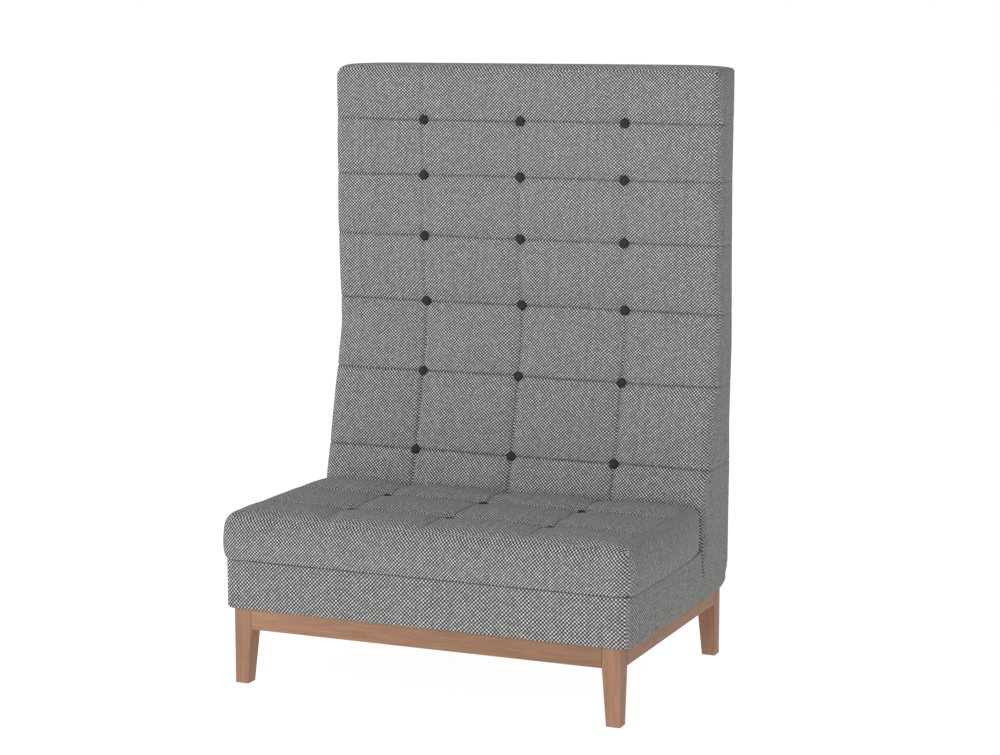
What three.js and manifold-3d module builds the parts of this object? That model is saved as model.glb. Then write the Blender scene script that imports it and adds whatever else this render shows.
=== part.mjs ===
// Acoustic high back lounge chair: a timber leg frame, an upholstered seat base, a tufted seat
// cushion and a tall channelled back. Millimetres, +Z up, the front of the chair faces -Y.
import * as THREE from 'three';
import { mergeVertices } from 'three/addons/utils/BufferGeometryUtils.js';
import Module from 'manifold-3d';

const wasm = await Module();
wasm.setup();

// Leg frame
const frameWidth = 1000;
const frameDepth = 730;
const legHeadSize = 46;
const legFootSize = 35;
const underRailHeight = 136.5;
const railHeight = 50.5;
const railThickness = 25;

// Corner blocks and the bolts that draw the legs against them
const blockReach = 60;
const blockHeight = 40;
const blockDrop = 2;
const boltRadius = 4;
const boltHeadRadius = 8;
const boltHeadHeight = 5;
const boltBite = 30;

// Upholstered seat base
const baseHeight = 121;
const sideOverhang = 26.5;
const frontOverhang = 12;
const baseCornerRadius = 35;
const basePadThickness = 12;
const boardThickness = 22;
const deckThickness = 15;
const dustCoverThickness = 3;

// Seat cushion
const cushionEdgeHeight = 116;
const cushionCrown = 9;
const cushionBulge = 7.5;
const cushionCornerRadius = 36;
const cushionTopRadius = 32;
const cushionSeamRadius = 5;
const cushionSideDraw = 3;
const seatColumnSpacing = 262;
const seatFirstRowSetback = 177;
const seatRowSpacing = 202;
const seatChannelDepth = 13;
const seatColumnDepth = 8;
const seatTuftDepth = 22;
const seatDipReach = 85;

// Back, measured from its rear face
const rearOverhang = 3;
const backHeight = 1295;
const backTopThickness = 126;
const waistThickness = 109;
const footThickness = 211;
const shoulderHeight = 884;
const waistHeight = 628;
const slopeStartHeight = 213;
const backTopCrown = 6;
const backCornerRadius = 28;
const backFrontRadius = 25;
const backRearRadius = 20;
const backHeelRadius = 70;
const backPadThickness = 45;
const backColumnSpacing = 273.5;
const backMiddleShift = 6;
const backChannelDepth = 8;
const backColumnDepth = 4;
const backTuftDepth = 12;
const backDipReach = 70;
const backCoverThickness = 12;
const backBoardThickness = 6;
const backSideThickness = 22;
const backRailHeight = 60;
const backFootRailHeight = 90;
const backBoltSpacing = 640;
const backBoltBite = 20;

// Buttons
const buttonRadius = 12.5;
const buttonHeight = 9;
const buttonRimHeight = 2.5;
const tuftFloorMargin = 1.5;

// Clearance between neighbours, and how far a cut runs past what it cuts
const joinGap = 0.3;
const cutOverrun = 5;

// Button rows of the back, as shares of its height down from the top
const backRowShares = [0.103, 0.212, 0.333, 0.464, 0.6025, 0.756];
const columnPlaces = [-1, 0, 1];

// How finely arcs, round bars, crowns and padded panels are stepped, and how square a crown is
const arcSteps = 6;
const roundSteps = 14;
const crownSteps = 6;
const seatPanelSteps = 3;
const backPanelSteps = 2;
const crownPower = 4;

// Heights and places that follow from the sizes above
const legHeight = underRailHeight + railHeight;
const bodyBottom = legHeight + joinGap;
const baseTop = bodyBottom + baseHeight;
const bodyHalfWidth = frameWidth / 2 + sideOverhang;
const frontFace = -frameDepth / 2 - frontOverhang;
const rearFace = frameDepth / 2 + rearOverhang;
const footFace = rearFace - footThickness;
const backTop = bodyBottom + backHeight;
const shoulderLevel = bodyBottom + shoulderHeight;
const waistLevel = bodyBottom + waistHeight;
const slopeStart = bodyBottom + slopeStartHeight;
const backPadBottom = baseTop + joinGap;
const rearBoardFace = rearFace - backCoverThickness - joinGap;
const frameRearFace = rearBoardFace - backBoardThickness - joinGap;
const tuftHalf = buttonRadius + tuftFloorMargin;

const oiledBeech = new THREE.MeshStandardMaterial({ color: '#a8826a', roughness: 0.55, metalness: 0 });
const rawPlywood = new THREE.MeshStandardMaterial({ color: '#c9ad82', roughness: 0.8, metalness: 0 });
const rawPine = new THREE.MeshStandardMaterial({ color: '#d3b98c', roughness: 0.8, metalness: 0 });
const greyWeave = new THREE.MeshStandardMaterial({ color: '#83837f', roughness: 0.95, metalness: 0 });
const charcoalFelt = new THREE.MeshStandardMaterial({ color: '#363634', roughness: 0.95, metalness: 0 });
const blackCloth = new THREE.MeshStandardMaterial({ color: '#242424', roughness: 0.95, metalness: 0 });
const zincSteel = new THREE.MeshStandardMaterial({ color: '#b4b6b8', roughness: 0.35, metalness: 0.9 });

const chair = new THREE.Group();
chair.name = 'lounge_chair';

function addPiece(name, geometry, material) {
  const piece = new THREE.Mesh(geometry, material);
  piece.name = name;
  chair.add(piece);
  return piece;
}

// Keeps only the places of a geometry's vertices and joins the ones that coincide
function bareGeometry(geometry) {
  const bare = geometry.clone();
  bare.deleteAttribute('normal');
  bare.deleteAttribute('uv');
  return mergeVertices(bare);
}

function solidOf(geometry) {
  const bare = bareGeometry(geometry);
  const vertProperties = new Float32Array(bare.attributes.position.array);
  const triVerts = new Uint32Array(bare.index.array);
  return new wasm.Manifold(new wasm.Mesh({ numProp: 3, vertProperties, triVerts }));
}

function geometryOf(solid) {
  const mesh = solid.getMesh();
  const geometry = new THREE.BufferGeometry();
  geometry.setAttribute('position', new THREE.BufferAttribute(mesh.vertProperties, 3));
  geometry.setIndex(new THREE.BufferAttribute(mesh.triVerts, 1));
  return geometry;
}

// A box between two corners
function blockBetween(low, high) {
  const size = high.map((value, axis) => value - low[axis]);
  const centre = high.map((value, axis) => (value + low[axis]) / 2);
  return new THREE.BoxGeometry(...size).translate(...centre);
}

// A closed outline whose corners are given as [across, along, radius]
function filletedShape(corners) {
  const points = corners.flatMap(([across, along, radius], index) => {
    const corner = new THREE.Vector2(across, along);
    if (!(radius > 0)) return [corner];
    const before = corners[(index + corners.length - 1) % corners.length];
    const after = corners[(index + 1) % corners.length];
    const back = new THREE.Vector2(before[0], before[1]).sub(corner).normalize();
    const ahead = new THREE.Vector2(after[0], after[1]).sub(corner).normalize();
    const halfAngle = back.angleTo(ahead) / 2;
    const inward = back.clone().add(ahead).normalize();
    const centre = corner.clone().addScaledVector(inward, radius / Math.sin(halfAngle));
    const first = corner.clone().addScaledVector(back, radius / Math.tan(halfAngle)).sub(centre);
    const last = corner.clone().addScaledVector(ahead, radius / Math.tan(halfAngle)).sub(centre);
    const sweep = Math.atan2(first.cross(last), first.dot(last));
    return Array.from({ length: arcSteps + 1 }, (unused, step) => {
      const turned = first.clone().rotateAround(new THREE.Vector2(), (sweep * step) / arcSteps);
      return turned.add(centre);
    });
  });
  return new THREE.Shape(points);
}

const alongX = new THREE.Vector3(1, 0, 0);
const alongY = new THREE.Vector3(0, 1, 0);
const alongZ = new THREE.Vector3(0, 0, 1);

// Prisms of an outline drawn in plan, from the side (Y, Z) and from the front (X, Z)
function planPrism(shape, low, high) {
  return new THREE.ExtrudeGeometry(shape, { depth: high - low, bevelEnabled: false }).translate(0, 0, low);
}

function sidePrism(shape, low, high) {
  const prism = new THREE.ExtrudeGeometry(shape, { depth: high - low, bevelEnabled: false });
  const turn = new THREE.Matrix4().makeBasis(alongY, alongZ, alongX);
  return prism.applyMatrix4(turn).translate(low, 0, 0);
}

function frontPrism(shape, low, high) {
  const prism = new THREE.ExtrudeGeometry(shape, { depth: high - low, bevelEnabled: false });
  const turn = new THREE.Matrix4().makeBasis(alongX, alongZ, alongY.clone().negate());
  return prism.applyMatrix4(turn).translate(0, high, 0);
}

// A round bar with a wider head, its tip at the origin, lying along +Z
function boltGeometry(shank, head, headHeight, length) {
  const profile = [[0, 0], [shank, 0], [shank, length], [head, length], [head, length + headHeight],
    [0, length + headHeight]];
  const points = profile.map(([radius, height]) => new THREE.Vector2(radius, height));
  return new THREE.LatheGeometry(points, roundSteps).rotateX(Math.PI / 2);
}

function rodGeometry(radius, length) {
  return new THREE.CylinderGeometry(radius, radius, length, roundSteps).rotateX(Math.PI / 2)
    .translate(0, 0, length / 2);
}

// Turns a shape that lies along +Z so that it lies along a direction from a start
function aim(geometry, direction, start) {
  const turn = new THREE.Quaternion().setFromUnitVectors(alongZ, direction.clone().normalize());
  return geometry.applyQuaternion(turn).translate(...start);
}

// Leg frame. Each corner is made once, its outer corner at the origin and the frame towards
// +X and +Y, and then turned to its place.
const cornerNames = ['front_left', 'front_right', 'rear_right', 'rear_left'];
const cornerPlaces = [[-1, -1], [1, -1], [1, 1], [-1, 1]];
const diagonal = new THREE.Vector3(1, 1, 0).normalize();
const blockTop = legHeight - blockDrop;
const boltLevel = blockTop - blockHeight / 2;
const blockStart = legHeadSize + joinGap;
const blockInner = railThickness + joinGap;
const blockFaceDistance = (blockStart + blockReach + blockInner) / Math.SQRT2;
const legInnerDistance = legHeadSize * Math.SQRT2;
const boltTipDistance = legInnerDistance - boltBite;

function cornerHole(radius, from, to) {
  const start = diagonal.clone().multiplyScalar(from).setZ(boltLevel);
  return solidOf(aim(rodGeometry(radius, to - from), diagonal, start));
}

function legGeometry() {
  const outline = filletedShape([[0, 0], [legFootSize, 0], [legHeadSize, underRailHeight],
    [legHeadSize, legHeight], [0, legHeight]]);
  const acrossX = frontPrism(outline, 0, legHeadSize);
  const acrossY = sidePrism(outline, 0, legHeadSize);
  const hole = cornerHole(boltRadius + joinGap, boltTipDistance - joinGap, legInnerDistance + cutOverrun);
  return geometryOf(solidOf(acrossX).intersect(solidOf(acrossY)).subtract(hole));
}

function cornerBlockGeometry() {
  const end = blockStart + blockReach;
  const outline = filletedShape([[blockStart, blockInner], [end, blockInner], [blockInner, end],
    [blockInner, blockStart], [blockStart, blockStart]]);
  const block = solidOf(planPrism(outline, blockTop - blockHeight, blockTop));
  const hole = cornerHole(boltRadius + joinGap, boltTipDistance, blockFaceDistance + cutOverrun);
  return geometryOf(block.subtract(hole));
}

function cornerBoltGeometry() {
  const start = diagonal.clone().multiplyScalar(boltTipDistance).setZ(boltLevel);
  const shankLength = blockFaceDistance + joinGap - boltTipDistance;
  return aim(boltGeometry(boltRadius, boltHeadRadius, boltHeadHeight, shankLength), diagonal, start);
}

cornerNames.forEach((corner, index) => {
  const [sideX, sideY] = cornerPlaces[index];
  const pieces = [['leg', legGeometry(), oiledBeech], ['corner_block', cornerBlockGeometry(), rawPine],
    ['leg_bolt', cornerBoltGeometry(), zincSteel]];
  for (const [kind, geometry, material] of pieces) {
    const piece = addPiece(`${kind}_${corner}`, geometry, material);
    piece.rotation.z = (index * Math.PI) / 2;
    piece.position.set((sideX * frameWidth) / 2, (sideY * frameDepth) / 2, 0);
  }
});

const railEndX = frameWidth / 2 - legHeadSize - joinGap;
const railEndY = frameDepth / 2 - legHeadSize - joinGap;
for (const [name, side] of [['front', -1], ['rear', 1]]) {
  const middle = side * (frameDepth / 2 - railThickness / 2);
  addPiece(`rail_${name}`, blockBetween([-railEndX, middle - railThickness / 2, underRailHeight],
    [railEndX, middle + railThickness / 2, legHeight]), oiledBeech);
}
for (const [name, side] of [['left', -1], ['right', 1]]) {
  const middle = side * (frameWidth / 2 - railThickness / 2);
  addPiece(`rail_${name}`, blockBetween([middle - railThickness / 2, -railEndY, underRailHeight],
    [middle + railThickness / 2, railEndY, legHeight]), oiledBeech);
}

// Plan outline of the seat base, drawn in by an inset; the rear stays square against the back
const baseRear = footFace - joinGap;

function baseOutline(inset) {
  const half = bodyHalfWidth - inset;
  const front = frontFace + inset;
  const radius = baseCornerRadius - inset;
  return filletedShape([[-half, front, radius], [half, front, radius], [half, baseRear], [-half, baseRear]]);
}

function basePadGeometry() {
  const outer = solidOf(planPrism(baseOutline(0), bodyBottom, baseTop));
  const half = bodyHalfWidth - basePadThickness;
  const radius = baseCornerRadius - basePadThickness;
  const front = frontFace + basePadThickness;
  const past = baseRear + cutOverrun;
  const inner = filletedShape([[-half, front, radius], [half, front, radius], [half, past], [-half, past]]);
  return geometryOf(outer.subtract(solidOf(planPrism(inner, bodyBottom - cutOverrun, baseTop + cutOverrun))));
}

// The timber box inside the base pad, cut from its rounded core
const coreInset = basePadThickness + joinGap;
const coreHalf = bodyHalfWidth - coreInset;
const coreFront = frontFace + coreInset;
const boardTop = baseTop - deckThickness - joinGap;
const baseCore = solidOf(planPrism(baseOutline(coreInset), bodyBottom, baseTop));

function fromBaseCore(low, high) {
  return geometryOf(baseCore.intersect(solidOf(blockBetween(low, high))));
}

const frontBoardRear = coreFront + boardThickness;
const sideBoardInner = coreHalf - boardThickness;
const rearBoardFront = baseRear - boardThickness;
addPiece('base_pad', basePadGeometry(), greyWeave);
addPiece('base_board_front', fromBaseCore([-coreHalf, coreFront, bodyBottom],
  [coreHalf, frontBoardRear, boardTop]), rawPine);
addPiece('base_board_left', fromBaseCore([-coreHalf, frontBoardRear + joinGap, bodyBottom],
  [-sideBoardInner, baseRear, boardTop]), rawPine);
addPiece('base_board_right', fromBaseCore([sideBoardInner, frontBoardRear + joinGap, bodyBottom],
  [coreHalf, baseRear, boardTop]), rawPine);
addPiece('base_deck', fromBaseCore([-coreHalf, coreFront, boardTop + joinGap],
  [coreHalf, baseRear, baseTop]), rawPlywood);
addPiece('dust_cover', blockBetween(
  [joinGap - sideBoardInner, frontBoardRear + joinGap, bodyBottom],
  [sideBoardInner - joinGap, rearBoardFront - joinGap, bodyBottom + dustCoverThickness]), blackCloth);

// Two bolts tie the base to the foot rail of the back
const backBoltLevel = (bodyBottom + boardTop) / 2;
const backBoltPlaces = [['left', -backBoltSpacing / 2], ['right', backBoltSpacing / 2]];
const footRailFront = footFace + joinGap;

function boltHoles(from, to) {
  const rods = backBoltPlaces.map(([, across]) =>
    solidOf(aim(rodGeometry(boltRadius + joinGap, to - from), alongY, [across, from, backBoltLevel])));
  return rods[0].add(rods[1]);
}

const rearBoard = solidOf(blockBetween([joinGap - sideBoardInner, rearBoardFront, bodyBottom],
  [sideBoardInner - joinGap, baseRear, boardTop]));
addPiece('base_board_rear',
  geometryOf(rearBoard.subtract(boltHoles(rearBoardFront - cutOverrun, baseRear + cutOverrun))), rawPine);
for (const [side, across] of backBoltPlaces) {
  const shankLength = footRailFront + backBoltBite - rearBoardFront + joinGap;
  const bolt = boltGeometry(boltRadius, boltHeadRadius, boltHeadHeight, shankLength);
  const tip = [across, footRailFront + backBoltBite, backBoltLevel];
  addPiece(`back_bolt_${side}`, aim(bolt, alongY.clone().negate(), tip), zincSteel);
}

// Grid lines across a padded face: its ends, the start of its rounded edges, both sides and the
// middle of each seam, any line asked for besides, and even steps between them
function gridLines(low, high, lowEdge, highEdge, seams, besides, steps) {
  const panelEnds = [low + lowEdge, ...besides, high - highEdge];
  for (const seam of seams) panelEnds.push(seam - tuftHalf, seam, seam + tuftHalf);
  panelEnds.sort((first, second) => first - second);
  const lines = lowEdge > 0 ? [low] : [];
  panelEnds.forEach((end, index) => {
    lines.push(end);
    const next = panelEnds[index + 1];
    if (next - end > tuftHalf * 2) {
      for (let step = 1; step < steps; step += 1) lines.push(end + ((next - end) * step) / steps);
    }
  });
  if (highEdge > 0) lines.push(high);
  return lines;
}

// A closed block with its vertices on the given lines
function griddedBlock(lines) {
  const steps = lines.map((axisLines) => axisLines.length - 1);
  const geometry = bareGeometry(new THREE.BoxGeometry(1, 1, 1, ...steps));
  const places = geometry.attributes.position;
  for (let index = 0; index < places.count; index += 1) {
    const unit = [places.getX(index), places.getY(index), places.getZ(index)];
    const place = unit.map((value, axis) => lines[axis][Math.round((value + 1 / 2) * steps[axis])]);
    places.setXYZ(index, ...place);
  }
  return geometry;
}

function moveVertices(geometry, move) {
  const places = geometry.attributes.position;
  const place = new THREE.Vector3();
  for (let index = 0; index < places.count; index += 1) {
    place.fromBufferAttribute(places, index);
    move(place);
    places.setXYZ(index, place.x, place.y, place.z);
  }
  return geometry;
}

// Rounds the plan corners of a block and then its top and bottom edges. The plan is the box from
// low to high; an end of it that isn't to be rounded is left out of the clamp. Returns how far the
// place lies inside the plan's outline.
function roundPlace(place, plan, cornerRadius, top, topRadius, bottom, bottomRadius) {
  const centre = new THREE.Vector2(
    THREE.MathUtils.clamp(place.x, plan.low.x + cornerRadius, plan.high.x - cornerRadius),
    THREE.MathUtils.clamp(place.y, plan.low.y + (plan.squareFoot ? 0 : cornerRadius),
      plan.high.y - cornerRadius));
  const outward = new THREE.Vector2(place.x, place.y).sub(centre);
  const reach = Math.max(Math.abs(outward.x), Math.abs(outward.y));
  let inside = cornerRadius - reach;
  const upper = place.z > (top + bottom) / 2;
  const radius = upper ? topRadius : bottomRadius;
  const level = upper ? top - radius : bottom + radius;
  const rise = upper ? place.z - level : level - place.z;
  const turn = radius - inside;
  if (turn > 0 && rise > 0) {
    const length = Math.hypot(turn, rise);
    inside = radius - (turn * radius) / length;
    place.z = level + ((upper ? rise : -rise) * radius) / length;
  }
  if (reach > 0) {
    outward.setLength(cornerRadius - inside);
    place.x = centre.x + outward.x;
    place.y = centre.y + outward.y;
  }
  return { inside, outward };
}

function fade(distance, reach) {
  const near = Math.max(0, 1 - distance / reach);
  return near * near;
}

// How deep the surface is drawn in at a place: the deepest of the channels, the column seams and
// the tuft, whose floor is flat under its button
function dipAt(across, along, columns, rows, depths) {
  const acrossGap = Math.min(...columns.map((column) => Math.abs(across - column)));
  const alongGap = Math.min(...rows.map((row) => Math.abs(along - row)));
  const fromTuft = Math.max(0, Math.max(acrossGap, alongGap) - tuftHalf);
  return Math.max(depths.channel * fade(alongGap, depths.reach),
    depths.column * fade(acrossGap, depths.reach), depths.tuft * fade(fromTuft, depths.reach / 2));
}

// The place of the nearest tuft when a place lies on its flat floor
function onTuftFloor(across, along, columns, rows) {
  const column = columns.find((value) => Math.abs(across - value) <= tuftHalf + joinGap);
  const row = rows.find((value) => Math.abs(along - value) <= tuftHalf + joinGap);
  return column === undefined || row === undefined ? [across, along] : [column, row];
}

// Seat cushion
const cushionBottom = baseTop + joinGap;
const cushionTop = cushionBottom + cushionEdgeHeight;
const cushionRear = footFace - joinGap;
const seatColumns = columnPlaces.map((place) => place * seatColumnSpacing);
const seatRows = [frontFace + seatFirstRowSetback, frontFace + seatFirstRowSetback + seatRowSpacing];
const seatDips = { channel: seatChannelDepth, column: seatColumnDepth, tuft: seatTuftDepth,
  reach: seatDipReach };

function seatCrownAt(across, along) {
  const middle = (frontFace + cushionRear) / 2;
  const halfDepth = (cushionRear - frontFace) / 2;
  const shareX = 1 - (across / bodyHalfWidth) ** crownPower;
  const shareY = 1 - ((along - middle) / halfDepth) ** crownPower;
  return cushionCrown * Math.max(0, shareX) * Math.max(0, shareY);
}

function seatSurfaceAt(across, along) {
  const [tuftX, tuftY] = onTuftFloor(across, along, seatColumns, seatRows);
  return seatCrownAt(tuftX, tuftY) - dipAt(across, along, seatColumns, seatRows, seatDips);
}

function cushionGeometry() {
  const plan = { low: { x: -bodyHalfWidth, y: frontFace }, high: { x: bodyHalfWidth, y: cushionRear } };
  const sideLevels = [cushionBottom, cushionBottom + cushionSeamRadius,
    cushionBottom + cushionEdgeHeight / 3, cushionTop - cushionTopRadius, cushionTop];
  const block = griddedBlock([
    gridLines(plan.low.x, plan.high.x, cushionCornerRadius, cushionCornerRadius, seatColumns, [],
      seatPanelSteps),
    gridLines(plan.low.y, plan.high.y, cushionCornerRadius, cushionCornerRadius, seatRows, [],
      seatPanelSteps),
    sideLevels]);
  return moveVertices(block, (place) => {
    const { inside, outward } = roundPlace(place, plan, cushionCornerRadius, cushionTop, cushionTopRadius,
      cushionBottom, cushionSeamRadius);
    const rise = (place.z - cushionBottom) / cushionEdgeHeight;
    const edge = Math.max(0, 1 - inside / cushionCornerRadius);
    const alongFront = Math.abs(outward.y) > Math.abs(outward.x);
    const middleY = (plan.low.y + plan.high.y) / 2;
    const share = alongFront ? place.x / bodyHalfWidth
      : (place.y - middleY) / (plan.high.y - middleY);
    const draw = cushionSideDraw * Math.max(0, 1 - share * share) * (1 - rise);
    const swell = (cushionBulge * Math.sin(Math.PI * rise) - draw) * edge;
    const behind = place.y > cushionRear - cushionCornerRadius;
    if (outward.lengthSq() > 0) {
      outward.normalize();
      place.x += outward.x * swell;
      if (!behind) place.y += outward.y * swell;
    }
    const topShare = Math.max(0, (place.z - cushionTop + cushionTopRadius) / cushionTopRadius);
    place.z += seatSurfaceAt(place.x, place.y) * topShare * topShare;
  });
}

addPiece('seat_cushion', cushionGeometry(), greyWeave);

// A domed button with a flat underside at the origin, facing +Z
function buttonGeometry() {
  const profile = [[0, 0], [buttonRadius, 0], [buttonRadius, buttonRimHeight]];
  const domeHeight = buttonHeight - buttonRimHeight;
  for (const turn of [Math.PI / 6, Math.PI / 3]) {
    profile.push([buttonRadius * Math.cos(turn), buttonRimHeight + domeHeight * Math.sin(turn)]);
  }
  profile.push([0, buttonHeight]);
  const points = profile.map(([radius, height]) => new THREE.Vector2(radius, height));
  return new THREE.LatheGeometry(points, roundSteps).rotateX(Math.PI / 2);
}

seatRows.forEach((row, rowIndex) => {
  seatColumns.forEach((column, columnIndex) => {
    const button = addPiece(`seat_button_${rowIndex + 1}_${columnIndex + 1}`, buttonGeometry(), charcoalFelt);
    button.position.set(column, row, cushionTop + seatSurfaceAt(column, row) + joinGap);
  });
});

// Front face of the back at a height: upright behind the seat, leaning back to the waist, a little
// forward again to the shoulder and upright from there to the top
const frontLine = [[bodyBottom, footThickness], [slopeStart, footThickness], [waistLevel, waistThickness],
  [shoulderLevel, backTopThickness], [backTop, backTopThickness]];

function frontFaceAt(height) {
  const last = frontLine.length - 1;
  let index = 1;
  while (index < last && height > frontLine[index][0]) index += 1;
  const [lowHeight, lowThickness] = frontLine[index - 1];
  const [highHeight, highThickness] = frontLine[index];
  const share = (height - lowHeight) / (highHeight - lowHeight);
  return rearFace - lowThickness - (highThickness - lowThickness) * share;
}

function frontPoints(heights, setback) {
  return heights.map((height) => [frontFaceAt(height) + setback, height]);
}

// The whole back behind its pad, drawn in by an inset on every side but the front, as the common
// part of three prisms
function backEnvelope(inset, setback, footSetback) {
  const half = bodyHalfWidth - inset;
  const low = bodyBottom + inset;
  const high = backTop - inset;
  const rear = rearFace - inset;
  const side = filletedShape([[footFace + footSetback, low, 0], [rear, low, backHeelRadius - inset],
    [rear, high + cutOverrun, 0],
    ...frontPoints([high + cutOverrun, shoulderLevel, waistLevel, slopeStart], setback),
    [footFace + setback, baseTop], [footFace + footSetback, baseTop]]);
  const rearRadius = backRearRadius - inset;
  const plan = filletedShape([[-half, footFace - cutOverrun], [half, footFace - cutOverrun],
    [half, rear, rearRadius], [-half, rear, rearRadius]]);
  const crown = Array.from({ length: crownSteps - 1 }, (unused, step) => {
    const share = 1 - (2 * (step + 1)) / crownSteps;
    return [half * share, high + backTopCrown * (1 - share ** crownPower)];
  });
  const front = filletedShape([[-half, low], [half, low], [half, high, backCornerRadius - inset],
    ...crown, [-half, high, backCornerRadius - inset]]);
  return solidOf(sidePrism(side, -half, half))
    .intersect(solidOf(planPrism(plan, low - cutOverrun, high + 2 * cutOverrun + backTopCrown)))
    .intersect(solidOf(frontPrism(front, footFace - cutOverrun, rear + cutOverrun)));
}

const padSetback = backPadThickness + joinGap;
const coverShell = backEnvelope(0, padSetback, joinGap);
const coverCavity = backEnvelope(backCoverThickness, padSetback - cutOverrun, joinGap - cutOverrun);
addPiece('back_cover', geometryOf(coverShell.subtract(coverCavity)), greyWeave);

// Boards and rails inside the cover, cut from its core
const backCore = backEnvelope(backCoverThickness + joinGap, padSetback, joinGap);
const backCoreHalf = bodyHalfWidth - backCoverThickness - joinGap;
const backCoreTop = backTop - backCoverThickness - joinGap + backTopCrown;
const frontBoardSetback = padSetback + backBoardThickness;
const frameSetback = frontBoardSetback + joinGap;

function fromBackCore(solid) {
  return geometryOf(backCore.intersect(solid));
}

function slantedBoard(heights, thickness) {
  const front = frontPoints(heights, padSetback);
  const rear = frontPoints([...heights].reverse(), padSetback + thickness);
  return solidOf(sidePrism(filletedShape([...front, ...rear].reverse()), -backCoreHalf, backCoreHalf));
}

addPiece('back_board_upper', fromBackCore(slantedBoard([waistLevel + joinGap, shoulderLevel, backCoreTop],
  backBoardThickness)), rawPlywood);
addPiece('back_board_lower', fromBackCore(slantedBoard([backPadBottom, slopeStart,
  waistLevel - joinGap], backBoardThickness)), rawPlywood);
addPiece('back_board_rear', fromBackCore(solidOf(blockBetween(
  [-backCoreHalf, rearBoardFace - backBoardThickness, bodyBottom + backHeelRadius],
  [backCoreHalf, rearBoardFace, backCoreTop]))), rawPlywood);

// Side frames: boards cut to the outline of the back between the front and rear boards
const sideFrameShape = filletedShape([[footRailFront, bodyBottom], [rearBoardFace, bodyBottom],
  [rearBoardFace, bodyBottom + backHeelRadius - joinGap], [frameRearFace, bodyBottom + backHeelRadius],
  [frameRearFace, backCoreTop],
  ...frontPoints([backCoreTop, shoulderLevel, waistLevel, slopeStart], frameSetback),
  [footFace + frameSetback, baseTop], [footRailFront, baseTop]]);
const sideFrameInner = backCoreHalf - backSideThickness;
addPiece('back_side_left', fromBackCore(solidOf(sidePrism(sideFrameShape, -backCoreHalf,
  -sideFrameInner))), rawPlywood);
addPiece('back_side_right', fromBackCore(solidOf(sidePrism(sideFrameShape, sideFrameInner,
  backCoreHalf))), rawPlywood);

// Rails between the side frames, each from the front board to the rear board
const railHalf = sideFrameInner - joinGap;

function crossRail(low, high) {
  const outline = filletedShape([[frameRearFace, low], [frameRearFace, high],
    ...frontPoints([high, low], frameSetback)].reverse());
  return fromBackCore(solidOf(sidePrism(outline, -railHalf, railHalf)));
}

const topRailTop = backTop - backCoverThickness - 2 * joinGap;
addPiece('back_rail_top', crossRail(topRailTop - backRailHeight, topRailTop), rawPine);
addPiece('back_rail_waist', crossRail(waistLevel, waistLevel + backRailHeight), rawPine);

const footRail = solidOf(blockBetween([-railHalf, footRailFront, baseTop - backFootRailHeight],
  [railHalf, footRailFront + boardThickness, baseTop]));
addPiece('back_rail_foot', geometryOf(footRail.subtract(
  boltHoles(footRailFront - cutOverrun, footRailFront + backBoltBite + joinGap))), rawPine);

// Back pad: drawn flat as across, up and outward, and then laid on the front line of the back
const backColumns = columnPlaces.map((place) => place * backColumnSpacing - (place ? 0 : backMiddleShift));
const backRows = backRowShares.map((share) => backTop - share * backHeight);
const backDips = { channel: backChannelDepth, column: backColumnDepth, tuft: backTuftDepth,
  reach: backDipReach };

function backPadGeometry() {
  const plan = { low: { x: -bodyHalfWidth, y: backPadBottom }, high: { x: bodyHalfWidth, y: backTop },
    squareFoot: true };
  const block = griddedBlock([
    gridLines(plan.low.x, plan.high.x, backCornerRadius, backCornerRadius, backColumns, [], backPanelSteps),
    gridLines(plan.low.y, plan.high.y, 0, backCornerRadius, backRows, [slopeStart, waistLevel, shoulderLevel],
      backPanelSteps),
    [0, backPadThickness - backFrontRadius, backPadThickness]]);
  return moveVertices(block, (place) => {
    roundPlace(place, plan, backCornerRadius, backPadThickness, backFrontRadius, 0, 0);
    const turned = Math.max(0, (place.z - backPadThickness + backFrontRadius) / backFrontRadius);
    const rise = Math.max(0, (place.y - backTop + 2 * backCornerRadius) / (2 * backCornerRadius));
    const dip = dipAt(place.x, place.y, backColumns, backRows, backDips) * turned;
    const crown = backTopCrown * (1 - (place.x / bodyHalfWidth) ** crownPower) * rise * rise;
    place.set(place.x, frontFaceAt(place.y) + backPadThickness - place.z + dip, place.y + crown);
  });
}

addPiece('back_pad', backPadGeometry(), greyWeave);

backRows.forEach((row, rowIndex) => {
  backColumns.forEach((column, columnIndex) => {
    const name = `back_button_${rowIndex + 1}_${columnIndex + 1}`;
    const button = addPiece(name, buttonGeometry(), charcoalFelt);
    const lean = Math.atan2(frontFaceAt(row + tuftHalf) - frontFaceAt(row - tuftHalf), 2 * tuftHalf);
    button.rotation.x = Math.PI / 2 - lean;
    button.position.set(column, frontFaceAt(row) + backTuftDepth - joinGap, row);
  });
});

// The origin stands on the floor under the middle of the chair
const chairBox = new THREE.Box3().setFromObject(chair);
chair.position.y = -(chairBox.min.y + chairBox.max.y) / 2;

export default chair;
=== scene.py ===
"""Dresses the acoustic high back lounge chair: upholstery, buttons, timber, lining, stage and camera."""

import math
from contextlib import contextmanager

import bmesh
import bpy
import numpy as np
from bpy.props import FloatProperty, FloatVectorProperty, PointerProperty
from bpy.types import Operator, Panel, PropertyGroup
from mathutils import Matrix, Vector


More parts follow.
